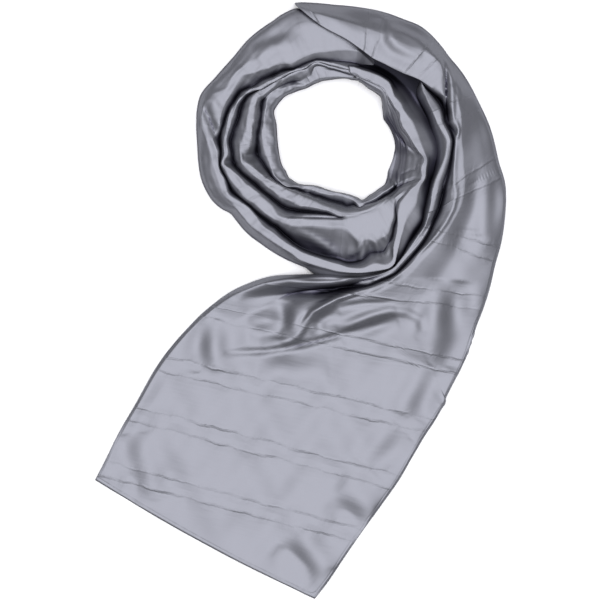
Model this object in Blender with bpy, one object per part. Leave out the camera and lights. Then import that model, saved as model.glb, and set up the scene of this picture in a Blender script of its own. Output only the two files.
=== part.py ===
"""Satin evening stole, wound once round itself into a ring with its wide end spread, lying flat.

Lengths are millimetres here and metres in the mesh. +Z is up, the underside lies on z = 0, and the
origin is the middle of the underside. Angles are degrees about the ring's centre, 0 along +X and 90
along +Y, counted on past 360 where the cloth comes round again.
"""
import math

import bpy
import numpy as np

RING_CENTRE = (76.0, 256.0)
CLOTH = 2.4              # the double cloth of a wall
SEAM = 0.35              # between two pieces that meet
UNDER = 0.8              # between a wall and the layers under it
EDGE_HEIGHT = 2.6        # top of a free edge
SHOULDER = 5.0           # from a free edge in to where it has rounded up
SHOULDER_SHARE = 0.3     # of the way to the first fold, where that is nearer
SHOULDER_LIFT = 0.55     # of the first fold's height, reached at the shoulder
FOLD_ROUNDING = 0.55     # 0 for straight sides between folds, 1 for fully rounded ones
END_STEP = 28.0          # rows of the wide end
TURN_STEP = 4.5          # degrees between rows of the ring
JOIN_ANGLE = -68.0       # where the wide end becomes the right side
JOIN_SEAM = 0.1          # degrees left for the seam there
TOP_ANGLE = 40.0         # where the right side becomes the top
TIP_ANGLE = 109.0        # the folded point at the top
BAND_ANGLE = 84.0        # from where the top lies over the upper left
BESIDE_GAP = 3.2         # from the ring's outer side to the layers under the top
BAND_STEP = 9.0          # from the top's free edge in to its full height of layers
LOW_LAYER = 10.0         # height of the layers beside the free edge
LIP_DROP = 4.0           # how far the top's free edge turns down
LIP_REACH = 0.04         # of the next step, how far it turns out over the gap
STANDS_BELOW = 3.2       # an edge lower than this stands on the table
LEAST_RADIUS = 90.0      # near the ring's middle, where a seam's angle is set
LEAST_STEP = 0.25        # between points on the inside of a tight fold
LEAST_LAYER = 1.5        # the least height of the hidden layers
END_LAYERS_TO = 11       # points across from the left that they reach
END_LAYERS_FROM = 12     # the row of the wide end from where the tucked tail lies under it

# The ring's pleated cloth: each fold is (angle, radius, height).
RING_OUTER = [(84, 182, 22), (90, 198, 22), (95, 214, 22), (100, 227, 21), (104, 238, 18), (107, 246, 11),
              (110, 252, 3), (115, 250, 3), (120, 248, 3), (130, 249, 3), (140, 247, 3), (150, 254, 3),
              (160, 263, 3), (165, 261, 3), (170, 257, 3), (180, 251, 3), (190, 250, 3), (200, 243, 3),
              (205, 234, 3), (210, 222, 3), (220, 219, 3), (230, 214, 3), (240, 212, 3), (248, 211, 5),
              (256, 213, 20), (270, 215, 23), (282, 214, 24), (293, 213, 24), (297, 206, 20),
              (310, 184, 12), (317, 180, 11), (323, 170, 10), (337, 156, 10), (350, 153, 10),
              (360, 156, 10), (370, 151, 10), (380, 148, 10), (391, 148, 10), (402, 152, 10),
              (413, 153, 9), (424, 155, 9), (438, 156, 10), (444, 156, 12)]
RIDGE_1 = [(84, 172, 26), (100, 195, 28), (110, 205, 28), (120, 196, 30), (130, 202, 30), (140, 212, 30),
           (150, 221, 30), (160, 238, 28), (165, 246, 24), (170, 245, 24), (175, 233, 27), (180, 226, 28),
           (186, 223, 27), (190, 224, 27), (200, 216, 26), (210, 208, 26), (220, 201, 28), (230, 198, 29),
           (240, 196, 30), (250, 198, 31), (260, 200, 32), (270, 204, 32), (280, 206, 32), (293, 209, 30),
           (296, 192, 30), (300, 174, 31), (307, 149, 32), (315, 132, 32), (323, 128, 32), (333, 134, 33),
           (340, 139, 34), (352, 139, 34), (361, 124, 34), (370, 115, 33), (380, 110, 33), (390, 109, 32),
           (399, 113, 31), (408, 120, 31), (417, 127, 30), (426, 131, 30), (435, 133, 30), (444, 134, 28)]
VALLEY_1 = [(84, 145, 18), (100, 147, 18), (108, 151, 17), (115, 161, 14), (120, 168, 12), (130, 177, 10),
            (140, 184, 10), (150, 204, 12), (160, 210, 13), (170, 213, 13), (180, 214, 11), (192, 213, 12),
            (200, 205, 12), (210, 195, 13), (220, 184, 12), (230, 176, 12), (240, 172, 13), (250, 170, 16),
            (260, 168, 17), (270, 170, 18), (280, 176, 20), (293, 196, 22), (296, 172, 22), (300, 158, 22),
            (305, 142, 22), (310, 131, 24), (315, 124, 26), (323, 119, 27), (340, 126, 27), (360, 114, 27),
            (380, 103, 26), (400, 106, 25), (417, 122, 27), (444, 130, 27)]
RIDGE_2 = [(84, 135, 26), (100, 138, 28), (110, 144, 28), (117, 152, 28), (126, 160, 28), (136, 166, 28),
           (144, 174, 28), (149, 190, 28), (155, 198, 30), (160, 198, 31), (170, 202, 31), (180, 201, 31),
           (188, 206, 28), (192, 203, 30), (200, 190, 32), (210, 178, 33), (220, 168, 33), (228, 161, 32),
           (235, 152, 32), (240, 148, 32), (250, 144, 32), (260, 141, 32), (268, 137, 31), (275, 147, 31),
           (285, 152, 31), (293, 160, 30), (296, 152, 30), (300, 147, 30), (305, 136, 31), (310, 126, 31),
           (315, 119, 30), (323, 114, 26), (340, 114, 23), (360, 106, 22), (380, 98, 22), (400, 100, 21),
           (417, 117, 24), (444, 128, 25)]
VALLEY_2 = [(84, 133, 25), (100, 135, 26), (110, 141, 26), (117, 149, 26), (126, 156, 26), (136, 162, 26),
            (144, 170, 25), (150, 186, 20), (160, 190, 18), (170, 195, 18), (180, 196, 19), (190, 189, 19),
            (200, 169, 18), (210, 155, 18), (220, 145, 16), (226, 143, 14), (233, 134, 16), (240, 124, 18),
            (250, 119, 19), (260, 116, 20), (270, 117, 24), (280, 128, 29), (293, 134, 30), (300, 130, 30),
            (305, 124, 30), (310, 118, 30), (315, 113, 28), (323, 108, 23), (340, 104, 19), (360, 100, 19),
            (380, 94, 18), (400, 95, 18), (417, 113, 21), (444, 126, 23)]
RIDGE_3 = [(84, 130, 24), (100, 132, 25), (110, 138, 26), (117, 145, 26), (126, 153, 26), (136, 158, 26),
           (144, 166, 26), (150, 178, 28), (160, 168, 30), (170, 166, 31), (180, 172, 31), (184, 176, 30),
           (190, 168, 31), (200, 150, 32), (210, 136, 32), (220, 127, 32), (230, 118, 31), (240, 109, 30),
           (250, 105, 30), (260, 104, 30), (270, 110, 29), (280, 112, 30), (293, 112, 29), (300, 110, 29),
           (305, 109, 28), (310, 108, 27), (315, 106, 25), (323, 103, 21), (340, 98, 16), (360, 97, 16),
           (380, 92, 15), (400, 92, 15), (417, 111, 18), (444, 124, 21)]
VALLEY_3 = [(84, 127, 21), (100, 129, 22), (110, 133, 20), (120, 143, 18), (130, 150, 16), (140, 156, 16),
            (150, 167, 16), (160, 155, 16), (170, 151, 15), (180, 151, 14), (186, 146, 12), (193, 137, 13),
            (200, 134, 17), (210, 126, 21), (220, 114, 20), (230, 106, 17), (240, 97, 16), (250, 95, 15),
            (260, 96, 15), (270, 99, 15), (280, 103, 18), (293, 103, 20), (300, 102, 18), (310, 101, 16),
            (320, 99, 14), (330, 98, 14), (345, 94, 13), (360, 94, 13), (380, 90, 12), (400, 89, 12),
            (417, 109, 14), (444, 121, 17)]
RIDGE_4 = [(84, 124, 17), (100, 126, 18), (113, 130, 19), (124, 136, 19), (134, 143, 19), (140, 147, 19),
           (146, 153, 20), (150, 151, 21), (160, 142, 23), (170, 137, 24), (180, 135, 24), (188, 127, 23),
           (195, 124, 22), (203, 119, 22), (210, 112, 21), (215, 106, 20), (220, 98, 19), (226, 90, 19),
           (235, 84, 19), (244, 81, 19), (255, 80, 19), (264, 80, 19), (275, 83, 19), (285, 91, 18),
           (290, 96, 18), (300, 95, 20), (310, 95, 20), (318, 94, 18), (330, 89, 15), (345, 89, 11),
           (360, 91, 10), (380, 88, 9), (400, 86, 9), (417, 107, 10), (444, 118, 12)]
RING_INNER = [(84, 119, 3), (90, 121, 3), (100, 122, 3), (110, 124, 3), (120, 126, 3), (130, 132, 3),
              (140, 138, 3), (150, 139, 3), (160, 126, 3), (170, 119, 3), (180, 115, 3), (195, 112, 3),
              (200, 107, 3), (205, 105, 3), (210, 100, 3), (215, 96, 3), (220, 90, 3), (226, 84, 3),
              (235, 78, 3), (244, 76, 3), (255, 75, 3), (264, 75, 3), (275, 77, 3), (285, 84, 3),
              (289, 90, 3), (299, 87, 3), (310, 88, 3), (318, 90, 3), (325, 87, 3), (335, 82, 3),
              (354, 85, 3), (365, 87, 3), (384, 85, 3), (397, 83, 3), (408, 91, 3), (417, 104, 3),
              (430, 110, 3), (444, 117, 3)]
RING = [RING_OUTER, RIDGE_1, VALLEY_1, RIDGE_2, VALLEY_2, RIDGE_3, VALLEY_3, RIDGE_4, RING_INNER]

# The right side and top, the same cloth as the wide end: each fold is (angle, radius, height).
INNER_GAP = [(-68, 214.5, 25), (-63, 206.5, 21), (-50, 185.5, 13), (-43, 181, 12), (-37, 171, 11),
             (-22, 157, 11), (-10, 154, 11), (0, 157, 11), (10, 152, 11), (20, 149, 11), (31, 149, 11),
             (42, 153, 11)]
RIDGE_R2 = [(-68, 219, 31), (-63, 212, 33), (-55, 201, 35), (-48, 195, 36), (-42, 190, 36), (-32, 178, 36),
            (-25, 168, 36), (-13, 166, 36), (-6, 170, 36), (2, 172, 36), (13, 167, 36), (20, 164, 36),
            (27, 163, 34), (34, 162, 30), (42, 160, 24)]
VALLEY_R23 = [(-68, 225, 17), (-58, 211, 16), (-50, 205, 17), (-43, 200, 17), (-35, 192, 18), (-27, 186, 20),
              (-19, 181, 24), (-3, 179, 27), (11, 180, 24), (20, 180, 16), (27, 175, 12), (34, 169, 12),
              (42, 164, 13)]
RIDGE_R3 = [(-68, 238, 31), (-64, 233, 32), (-56, 224, 33), (-50, 218, 33), (-42, 214, 34), (-35, 212, 34),
            (-29, 208, 34), (-22, 202, 35), (-5, 190, 35), (12, 193, 35), (20, 194, 35), (26, 192, 35),
            (31, 184, 35), (38, 176, 35), (44, 170, 36), (54, 160, 36), (61, 158, 36), (71, 159, 36),
            (81, 170, 36), (90, 186, 36), (97, 200, 35), (101, 212, 34), (105, 230, 33), (107, 243, 31),
            (109, 257, 25)]
FLANK_HIGH = [(-68, 15), (-50, 21), (-30, 27), (0, 30), (20, 30), (44, 34), (60, 35), (80, 35), (97, 33),
              (107, 29), (109, 22)]
FLANK_LOW = [(-68, 10), (-50, 14), (-30, 19), (0, 23), (20, 24), (44, 27), (60, 28), (80, 28), (97, 27),
             (107, 23), (109, 17)]
EDGE_ROUND = [(-68, 7), (-30, 11), (0, 13), (44, 15), (90, 15), (105, 14), (109, 12)]
TURN_OUTER = [(-68, 456), (-66, 442), (-62, 420), (-59, 404), (-56, 387), (-52, 368), (-50, 361), (-45, 344),
              (-37, 320), (-31, 309), (-22, 293), (-12, 278), (-4, 261), (9, 249), (22, 240), (35, 238),
              (41, 237), (48, 241), (59, 246), (67, 243), (80, 243), (92, 246), (101, 254), (107, 262),
              (109, 264)]
FLANK_SHARES = (0.33, 0.68)

# The wide end, a row per cut across it from the hem up: left end, right end, then how far in from
# the left the edge fold, the trough and the second fold lie, and the heights across.
WIDE_END = [
    (-349, -305, 21, -506, 7, 20, 45, (2.6, 3.4, 3.2, 3.2, 3.2, 3.2, 3.2, 2.6)),
    (-329, -273, 48, -476, 7, 20, 45, (2.6, 4, 4, 4, 4, 4, 4, 2.6)),
    (-307, -230, 76, -434, 8, 22, 50, (2.6, 5, 5, 5, 6, 5, 4.5, 2.6)),
    (-276, -179, 108, -388, 8, 24, 55, (2.6, 6, 5, 6, 7, 5, 5, 2.6)),
    (-235, -106, 140, -344, 9, 28, 60, (2.6, 7, 6, 7, 7, 6, 5, 2.6)),
    (-191, -50, 168, -304, 10, 36, 75, (2.6, 8, 6, 8, 8, 7, 6, 2.6)),
    (-152, -9, 190, -266, 12, 46, 95, (2.6, 10, 6, 10, 9, 7, 6, 2.6)),
    (-103, 21, 210, -232, 15, 55, 108, (4, 14, 7, 15, 10, 8, 6, 2.6)),
    (-35, 38, 228, -205, 16, 40, 84, (8, 22, 9, 22, 12, 9, 6, 2.6)),
    (40, 42, 240, -184, 12, 30, 56, (19, 30, 13, 27, 14, 10, 6, 2.6)),
    (98, 40, 246, -175, 7, 19, 36, (23, 31, 15, 29, 15, 10, 7, 2.6)),
    (128, 45, 247, -170, 5, 13, 28, (24, 31, 16, 30, 15, 10, 7, 2.6)),
]

# The pleated cloth's pieces: name, layers under it, first and last angle.
RING_PIECES = [
    ("inner_right_face", "hidden_layers_inner_right", 292, 385),
    ("inner_top_face", "hidden_layers_inner_top", 385, 444),
    ("upper_left_turn", "hidden_layers_upper_left", 84, 150),
    ("left_turn", "hidden_layers_left", 150, 215),
    ("bottom_turn", "hidden_layers_bottom", 215, 292),
]
OPEN_SEAMS = (215, 292, 385)   # pieces whose outer side meets the other cloth

CLOTH_COLOUR = (0.36, 0.36, 0.40)
LAYER_COLOUR = (0.27, 0.27, 0.31)


def clear_scene():
    for item in list(bpy.data.objects):
        bpy.data.objects.remove(item, do_unlink=True)


def slopes(x, y):
    """Slopes at the knots that never carry a curve past its knots."""
    step = np.diff(x)
    rise = np.diff(y) / step
    out = np.empty(len(x))
    out[0], out[-1] = rise[0], rise[-1]
    for i in range(1, len(x) - 1):
        a, b = rise[i - 1], rise[i]
        out[i] = 0.0 if a * b <= 0 else 2 * a * b / (a + b)
    return out


def curve(knots, column, at):
    x = np.array([k[0] for k in knots], float)
    y = np.array([k[column] for k in knots], float)
    m = slopes(x, y)
    at = np.clip(np.asarray(at, float), x[0], x[-1])
    i = np.clip(np.searchsorted(x, at, side="right") - 1, 0, len(x) - 2)
    h = x[i + 1] - x[i]
    t = (at - x[i]) / h
    return ((1 + 2 * t) * (1 - t) ** 2 * y[i] + t * (1 - t) ** 2 * h * m[i]
            + t * t * (3 - 2 * t) * y[i + 1] + t * t * (t - 1) * h * m[i + 1])


def polar(angle, radius, height):
    a = math.radians(angle)
    return (RING_CENTRE[0] + radius * math.cos(a), RING_CENTRE[1] + radius * math.sin(a), height)


def shoulder(edge, fold):
    """Where a free edge (radius, height) has rounded up on the way to the first fold."""
    reach = fold[0] - edge[0]
    step = math.copysign(min(SHOULDER, SHOULDER_SHARE * abs(reach)), reach)
    return (edge[0] + step, edge[1] + SHOULDER_LIFT * (fold[1] - edge[1]))


def ring_row(angle):
    """Fold points across the pleated cloth, from the outside in, with the rounded edges."""
    points = [(float(curve(f, 1, angle)), float(curve(f, 2, angle))) for f in RING]
    outer, first = points[0], points[1]
    last, inner = points[-2], points[-1]
    outside, inside = shoulder(outer, first), shoulder(inner, last)
    return [polar(angle, r, z) for r, z in [outer, outside] + points[1:-1] + [inside, inner]]


def turn_row(angle):
    """Fold points across the right side and top, from the inside out."""
    folds = [(float(curve(f, 1, angle)), float(curve(f, 2, angle)))
             for f in (INNER_GAP, RIDGE_R2, VALLEY_R23, RIDGE_R3)]
    crest = folds[-1][0]
    outer = float(curve(TURN_OUTER, 1, angle))
    step = min(SHOULDER, SHOULDER_SHARE * (outer - crest))
    for share, table in zip(FLANK_SHARES, (FLANK_HIGH, FLANK_LOW)):
        folds.append((crest + share * (outer - step - crest), float(curve(table, 1, angle))))
    folds.append((outer - step, float(curve(EDGE_ROUND, 1, angle))))
    folds.append((outer, EDGE_HEIGHT))
    return [polar(angle, r, z) for r, z in folds]


def under_band_row(angle):
    """Points across the layers under the top, from the gap beside the ring out to its edge."""
    gap = float(curve(RING_OUTER, 1, angle + 360)) + BESIDE_GAP
    crest, height = float(curve(RIDGE_R3, 1, angle)), float(curve(RIDGE_R3, 2, angle))
    inner = [polar(angle, gap, LOW_LAYER), polar(angle, crest, LOW_LAYER),
             polar(angle, crest + BAND_STEP, height)]
    return inner + turn_row(angle)[4:]


def end_row(row):
    left, right = np.array(row[0:2], float), np.array(row[2:4], float)
    width = float(np.linalg.norm(right - left))
    crest = row[6]
    along = [0.0, row[4], row[5], crest]
    along += [crest + share * (width - SHOULDER - crest) for share in FLANK_SHARES]
    along += [width - SHOULDER, width]
    return [tuple(left + (right - left) * d / width) + (z,) for d, z in zip(along, row[7])]


def across(row, parts):
    """Rows of fold points filled in between: rounded at each fold and straight in the flanks."""
    row = np.asarray(row, float)
    out = [row[0]]
    for a, b in zip(row[:-1], row[1:]):
        for k in range(1, parts + 1):
            t = k / parts
            point = a + (b - a) * t
            point[2] = a[2] + (b[2] - a[2]) * ((1 - FOLD_ROUNDING) * t + FOLD_ROUNDING * t * t * (3 - 2 * t))
            out.append(point)
    return np.array(out)


def through(rows, length):
    """Rows set out evenly through the given ones, along a smooth path."""
    rows = np.array(rows, float)
    centre = rows.mean(axis=1)
    at = np.concatenate([[0.0], np.cumsum(np.linalg.norm(np.diff(centre, axis=0), axis=1))])
    count = max(2, round(at[-1] / length) + 1)
    want = np.linspace(0.0, at[-1], count)
    flat = rows.reshape(len(rows), -1)
    out = np.empty((count, flat.shape[1]))
    for j in range(flat.shape[1]):
        out[:, j] = curve(list(zip(at, flat[:, j])), 1, want)
    return out.reshape(count, rows.shape[1], 3)


def sunk(grid, depth):
    """The grid moved in through the cloth by depth, square to each row, and no lower than the table."""
    grid = np.asarray(grid, float)
    ahead = np.roll(grid, -1, axis=1) - grid
    behind = grid - np.roll(grid, 1, axis=1)
    ahead[:, -1] = behind[:, -1]
    behind[:, 0] = ahead[:, 0]
    run = ahead / np.linalg.norm(ahead, axis=2, keepdims=True)
    run = run + behind / np.linalg.norm(behind, axis=2, keepdims=True)
    level = run[..., :2]
    span = np.linalg.norm(level, axis=2, keepdims=True)
    tilt = np.arctan2(run[..., 2:3], span)
    out = grid.copy()
    out[..., :2] += depth * np.sin(tilt) * level / span
    out[..., 2:3] -= depth * np.cos(tilt)
    out[..., 2] = np.maximum(out[..., 2], 0.0)
    reach = grid[:, -1:, :2] - grid[:, :1, :2]
    reach = reach / np.linalg.norm(reach, axis=2, keepdims=True)
    place = ((out[..., :2] - grid[:, :1, :2]) * reach).sum(axis=2)
    order = LEAST_STEP * np.arange(place.shape[1])
    ahead = np.maximum.accumulate(place - order, axis=1) + order
    back = np.minimum.accumulate((place - order)[:, ::-1], axis=1)[:, ::-1] + order
    out[..., :2] += ((ahead + back) / 2 - place)[..., None] * reach
    return out


def solid(name, top, bottom, colour):
    """A closed body between two grids of the same size."""
    rows, cols = top.shape[:2]
    verts = np.concatenate([top.reshape(-1, 3), bottom.reshape(-1, 3)]) * 0.001
    base = rows * cols
    faces = []
    for i in range(rows - 1):
        for j in range(cols - 1):
            a, b, c, d = i * cols + j, (i + 1) * cols + j, (i + 1) * cols + j + 1, i * cols + j + 1
            faces.append((a, b, c, d))
            faces.append((base + d, base + c, base + b, base + a))
    rim = [(0, j) for j in range(cols)] + [(i, cols - 1) for i in range(1, rows)]
    rim += [(rows - 1, j) for j in range(cols - 2, -1, -1)] + [(i, 0) for i in range(rows - 2, 0, -1)]
    loop = [i * cols + j for i, j in rim]
    for a, b in zip(loop, loop[1:] + loop[:1]):
        faces.append((a, b, base + b, base + a))
    mesh = bpy.data.meshes.new(name)
    mesh.from_pydata([tuple(v) for v in verts], [], faces)
    mesh.validate()
    area = np.cross(top[1, 0] - top[0, 0], top[0, 1] - top[0, 0])[2]
    if area < 0:
        mesh.flip_normals()
    mesh.update()
    item = bpy.data.objects.new(name, mesh)
    bpy.context.scene.collection.objects.link(item)
    material = bpy.data.materials.new(name)
    material.use_nodes = True
    shader = material.node_tree.nodes["Principled BSDF"]
    shader.inputs["Base Color"].default_value = (*colour, 1)
    shader.inputs["Roughness"].default_value = 0.45
    mesh.materials.append(material)
    return item


def wall(name, grid):
    """One thickness of cloth, its free edges standing on the table."""
    bottom = sunk(grid, CLOTH)
    for edge in (0, -1):
        low = grid[:, edge, 2] < STANDS_BELOW
        bottom[low, edge, 2] = 0.0
    solid(name, grid, bottom, CLOTH_COLOUR)


def layers(name, grid):
    """The hidden layers under a wall, one rounded body with a flat underside."""
    top = sunk(grid, CLOTH)[:, ::2]
    height = np.pad(top[..., 2], 1, mode="edge")
    rows, cols = top.shape[:2]
    near = [height[i:i + rows, j:j + cols] for i in range(3) for j in range(3)]
    top[..., 2] = np.min(near, axis=0) - UNDER
    keep = [j for j in range(cols) if float(top[:, j, 2].min()) > LEAST_LAYER]
    top = top[:, keep[0]:keep[-1] + 1]
    bottom = top.copy()
    bottom[..., 2] = 0.0
    solid(name, top, bottom, LAYER_COLOUR)


def inset_columns(grid, low, high):
    """The grid with its first and last columns drawn in, to leave a seam beside a neighbour."""
    out = grid.copy()
    for edge, step, amount in ((0, 1, low), (-1, -2, high)):
        toward = out[:, step] - out[:, edge]
        reach = np.linalg.norm(toward, axis=1, keepdims=True)
        out[:, edge] += toward / reach * amount
    return out


def rolled(grid):
    """The grid with its first edge turned down over the cloth beneath."""
    down = grid[:, :1].copy()
    down[..., :2] -= (grid[:, 1:2, :2] - down[..., :2]) * LIP_REACH
    down[..., 2] -= LIP_DROP
    return np.concatenate([down, grid], axis=1)


def turn_rows(row, start, end):
    """Rows between two angles, drawn in at both ends to leave the seams."""
    clear = math.degrees(SEAM / 2 / LEAST_RADIUS)
    count = max(2, round((end - start) / TURN_STEP) + 1)
    return np.array([across(row(a), 2) for a in np.linspace(start + clear, end - clear, count)])


def main():
    clear_scene()
    spread = through([end_row(r) for r in WIDE_END] + [turn_row(JOIN_ANGLE - JOIN_SEAM)], END_STEP)
    spread = np.array([across(r, 2) for r in spread])
    wall("end_panel", spread)
    layers("hidden_layers_tail", spread[END_LAYERS_FROM:, :END_LAYERS_TO])

    right = turn_rows(turn_row, JOIN_ANGLE, TOP_ANGLE)
    wall("right_turn", right)
    layers("hidden_layers_right", right)

    from_crest = 2 * len((INNER_GAP, RIDGE_R2, VALLEY_R23))
    wall("top_turn", rolled(turn_rows(turn_row, TOP_ANGLE, TIP_ANGLE)[:, from_crest:]))
    layers("hidden_layers_top", turn_rows(under_band_row, TOP_ANGLE, BAND_ANGLE))

    for name, under, start, end in RING_PIECES:
        grid = turn_rows(ring_row, start, end)
        wall(name, inset_columns(grid, SEAM, 0.0) if start in OPEN_SEAMS else grid)
        layers(under, grid)


main()
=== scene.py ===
"""Looks of the satin evening stole: fine pleats, sewn pin-tucks, satin, light and camera.

Tables are in millimetres. Angles are degrees about the ring's centre, 0 along +X and 90 along +Y,
counted on past 360 where the cloth comes round again.
"""
import math

import bmesh
import bpy
import numpy as np
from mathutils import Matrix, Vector, noise


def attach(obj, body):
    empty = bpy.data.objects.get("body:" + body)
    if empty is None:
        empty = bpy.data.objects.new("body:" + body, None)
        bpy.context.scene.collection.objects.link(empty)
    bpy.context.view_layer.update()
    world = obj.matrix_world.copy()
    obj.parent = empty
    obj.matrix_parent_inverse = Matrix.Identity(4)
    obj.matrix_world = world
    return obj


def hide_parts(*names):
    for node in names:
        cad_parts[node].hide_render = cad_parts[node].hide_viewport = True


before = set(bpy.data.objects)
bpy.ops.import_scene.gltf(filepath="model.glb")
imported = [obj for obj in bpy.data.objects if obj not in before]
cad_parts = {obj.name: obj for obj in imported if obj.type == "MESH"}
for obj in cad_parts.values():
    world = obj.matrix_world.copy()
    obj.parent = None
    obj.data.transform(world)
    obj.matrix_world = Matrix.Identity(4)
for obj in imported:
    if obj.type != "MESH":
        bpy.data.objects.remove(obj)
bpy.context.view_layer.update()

MM = 0.001               # in metres
RING_CENTRE = (76.0, 256.0)

# Edges and folds of the cloth.
SHELL = 1.0              # thickness of the drawn cloth
TABLE_CLEAR = 1.3        # the lowest the shell's outer face goes
EDGE_HEIGHT = 2.6        # top of a free edge
EDGE_UNDER = 2.0         # how far the underside of the ring's free edges lies back from them
END_UNDER = 1.5          # and that of the wide end's long edges
GAP_UNDER = (3.0, 5.0)   # how far out and down the right side runs on where it lies against the ring
RAISED_FROM = 4.0        # the wide end's left edge begins to run on so at this height,
RAISED_OVER = 15.0       # and does it wholly this much higher
SHOULDER = 5.0           # from a free edge in to where it has rounded up
SHOULDER_SHARE = 0.3     # of the way to the first fold, where that is nearer
RIM_SHOULDER = 4.0       # from the hole's edge in to where the cloth has rounded up
RIM_LIFT = 0.75          # of the last ridge's height, reached there
WALL_SLOPE = 0.5         # the steepest a pleat starts to fall at a fold's edge, before it dives
HEM_BOW = 7.0            # how far the hem's middle bows out, and how far up the cloth that reaches
HEM_BOW_REACH = 90.0

# Places round the ring.
JOIN_ANGLE = -68.0       # where the wide end becomes the right side
LIP_START = 38.0         # from here the top's inner edge lifts off its fold,
LIP_ANGLE = 46.0         # and from here it lies free
TIP_ANGLE = 109.0        # the folded point at the top
TURN_STEP = 3.0          # between the rows worked out for the right side and top
RING_START = 70.0        # first and last rows of the pleated cloth
RING_END = 447.0
GATHER_ANGLE = 292.0     # where it passes beneath the wide end's gather
OVERLAP_ANGLE = 428.0    # from where its last rows lie over its first and are swept back
OVERLAP_RISE = 12.0      # degrees over which they rise to that
OVERLAP_LIFT = 3.0       # and how far, in millimetres
END_SLANT = 9.0          # degrees the inner end of the last row is swept back
SLANT_ACROSS = (-0.3, 1.0)    # share of that at the outer and the inner edge
# The shade these folds cast on the ring is painted into its colour through its openness.
NEAR_UNTIL = 20.0        # the right side's near fold shades the ring up to here,
FAR_AFTER = 18.0         # and its far one from this many degrees on
NEAR_COLUMN = 20         # the wide cloth's column of points that stands for its side next to the ring

# The grids of points that the two cloths are drawn on.
ROWS = 415               # rows along each
ROW_STEP = 2.6           # about how far apart they are
# Faces from each fold point to the next, across the wide cloth and across the pleated one.
FINE = (4, 7, 4, 9, 8, 6, 22, 24, 16, 6, 3)
RING_FINE = (3, 5, 8, 7, 9, 9, 6, 8, 8, 5, 7, 7, 5, 3, 4, 3)
# How each fold turns: e is a crisp fold, v a sharp valley, s runs on smoothly.
WIDE_TURNS = "sseeveesssss"
RING_TURNS = "ssseeveeveeveesss"

# How far a fold's edge wanders in and out, and up and down, along the pleated cloth.
WAVER = [(70, 0.3), (100, 0.5), (125, 1.3), (225, 1.4), (240, 0.6), (262, 0.25), (300, 0.25),
         (325, 0.15), (395, 0.15), (425, 0.3), (444, 0.3)]
WAVER_TURN = 7.0         # degrees from one wandering to the next
QUICK_TURN = 2.6         # the same for the quicker ones, half as large
# Height of the fine wrinkles along the pleated cloth.
WRINKLES = [(70, 0.15), (105, 0.3), (130, 0.9), (220, 0.9), (236, 0.2), (270, 0.1), (300, 0.1),
            (320, 0.08), (390, 0.08), (425, 0.15), (444, 0.15)]
WRINKLE_WIDTH = 6.0      # across the cloth
WRINKLE_LENGTH = 26.0    # along it
RIPPLE = 11.0            # size of the round ones among them
RIPPLE_SHARE = 0.8       # of the long ones' height
WRINKLE_RISE = 4.0       # over the table, by where they are full

# Uneven swells over the wide cloth: share of the height, lengths along X and Y, then how far the swell
# snakes, and the lengths of that along X and Y.
SWELL = 0.95
SWELL_RISE = 3.0         # over the table, by where they are full
SWELLS = [
    (1.0, 21, 34, 0.7, math.inf, 40),
    (1.0, 37, -19, 1.3, 55, math.inf),
    (0.6, 11, 23, 0, 1, 1),
    (0.4, 9, -13, 0, 1, 1),
]

# Pin-tucks, puckers, seam and weave.
TUCK_PITCH = 100 * MM    # from one pair of pin-tucks to the next
TUCK_SPACING = 24 * MM   # between the two tucks of a pair
TUCK_RIDGE = 2.4 * MM    # half the width of a tuck's ridge
TUCK_HEIGHT = 1.2 * MM
TUCK_WANDER = 11 * MM    # how far it strays from its line, side to side,
TUCK_WANDER_LENGTH = 33 * MM  # and over what length
TUCK_PATCH = 70 * MM     # size of the patches in which it shows
RING_TUCK_FROM = 84.0    # angle of the pleated cloth's first pair
RING_TUCK_STEP = 30.0    # degrees to the next
PUCKER_WIDTH = 9 * MM
PUCKER_STRETCH = 0.35    # width over length: a pucker is 26 mm long
PUCKER_REACH = 12 * MM   # either side of a tuck
SEAM_INSET = 6 * MM      # of the seam from the edge
SEAM_WIDTH = 2 * MM      # half the width of its groove
SLUB = 11 * MM
SLUB_SHAPE = (0.25, 1.6, 1.0)  # 44 mm across the cloth for each 7 mm along it
SLUB_HEIGHT = 0.35       # of a tuck's
# How strongly the pin-tucks show along the pleated cloth, where most are folded in.
RING_TUCKS = [(70, 0.1), (120, 0.35), (250, 0.3), (300, 0.1), (444, 0.0)]

# Painted shade: the satin's base colour, darker the less open to the sky the place is, in creases,
# between layers and under neighbouring folds.
PAINTED_SHADE_COLOURS = [(0.08, "17171f"), (0.22, "403f4c"), (0.56, "7e7f86")]
KINK_PAINTED_SHADE = 0.28        # how much darker the bottom of a sharp fold is
HORIZON_STEPS = 26       # columns looked over each way for how open a point is
# Painted shade: how much of the sky the walls of the hole hide from the face that rolls down into it,
# taken off its openness.
HOLE_PAINTED_SHADE = [(70, 0), (305, 0), (335, 0.3), (395, 0.34), (407, 0), (444, 0)]
HOLE_ACROSS = (-1.2, 2.2)     # its share at the outer and inner edge, cut off at 0 and 1

# Brightness of the studio's big overhead softbox, by height in the sky.
SKY = [(0.02, 0.03), (0.3, 0.07), (0.55, 0.17), (0.75, 0.4), (0.88, 0.78), (0.98, 1.17)]
SKY_BLUE = 1.03          # its blue over its red and green
SKY_STRENGTH = 2.6
# The camera looks straight down on the photograph's middle and takes in 1.02 m.
CAMERA_PLACE = (-0.00085, 0.00085, 5.0)
CAMERA_LENS = 176.5

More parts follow.
